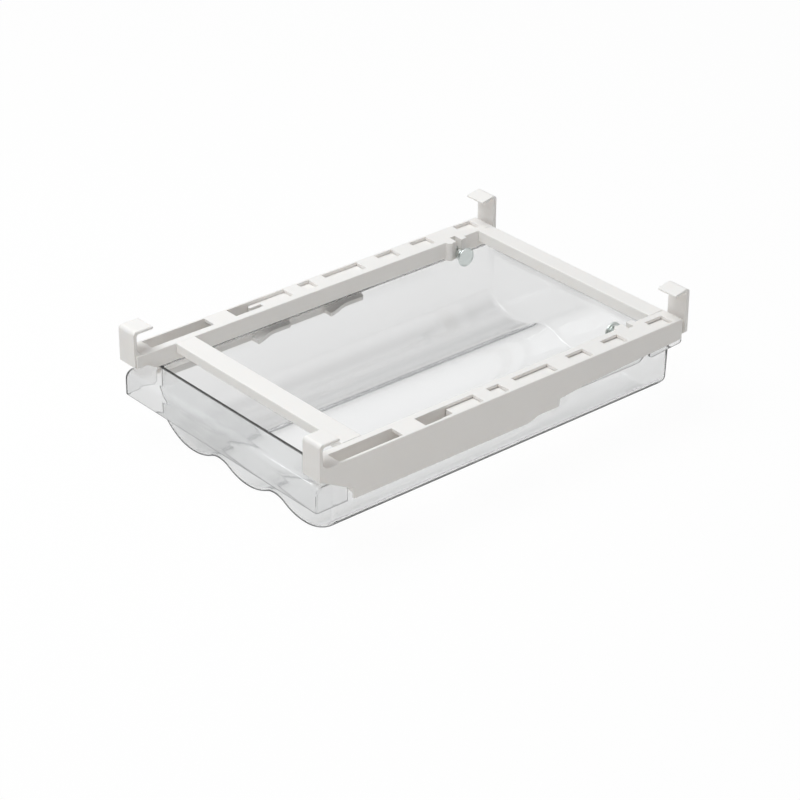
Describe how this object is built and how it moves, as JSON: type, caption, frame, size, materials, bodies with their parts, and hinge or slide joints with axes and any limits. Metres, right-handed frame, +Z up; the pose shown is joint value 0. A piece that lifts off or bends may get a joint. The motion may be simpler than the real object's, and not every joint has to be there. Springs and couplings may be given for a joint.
{
  "type": "hanging refrigerator shelf drawer",
  "caption": "Clear pull-out tray with lengthwise troughs in a white hook-on frame that hangs under a refrigerator shelf.",
  "frame": {"origin": "middle of the part in X and Y, at the lowest point of the tray", "axes": "+X to the right seen from the front, +Y from the front panel to the rear hooks, +Z up toward the shelf"},
  "size_m": [0.2, 0.305, 0.085],
  "materials": {
    "frame": "fine satin off-white moulding",
    "hook": "fine satin off-white moulding",
    "metal": "bright zinc plating",
    "tray": "clear, polished, colourless moulding"
  },
  "bodies": {
    "frame": {"left_rail": "frame", "right_rail": "frame", "front_crossbar": "frame", "rear_crossbar": "frame", "left_clamp_nut": "metal", "right_clamp_nut": "metal"},
    "drawer": {"drawer_tray": "tray"},
    "left_hook": {"left_rear_hook": "hook"},
    "right_hook": {"right_rear_hook": "hook"},
    "left_screw": {"left_clamp_screw": "metal"},
    "right_screw": {"right_clamp_screw": "metal"}
  },
  "joints": [
    {"name": "drawer_slide", "type": "slide", "parent": "frame", "child": "drawer", "axis": [0, -1, 0], "range_m": [0, 0.18]},
    {"name": "left_hook_slide", "type": "slide", "parent": "frame", "child": "left_hook", "axis": [0, 1, 0], "range_m": [-0.0025, 0.12]},
    {"name": "right_hook_slide", "type": "slide", "parent": "frame", "child": "right_hook", "axis": [0, 1, 0], "range_m": [-0.0025, 0.12]},
    {"name": "left_screw_turn", "type": "hinge", "parent": "frame", "child": "left_screw", "pos_m": [-0.0874, 0.1147, 0.054], "axis": [-1, 0, 0], "range_deg": [-720, 150]},
    {"name": "right_screw_turn", "type": "hinge", "parent": "frame", "child": "right_screw", "pos_m": [0.0854, 0.1147, 0.054], "axis": [1, 0, 0], "range_deg": [-360, 1180]}
  ]
}
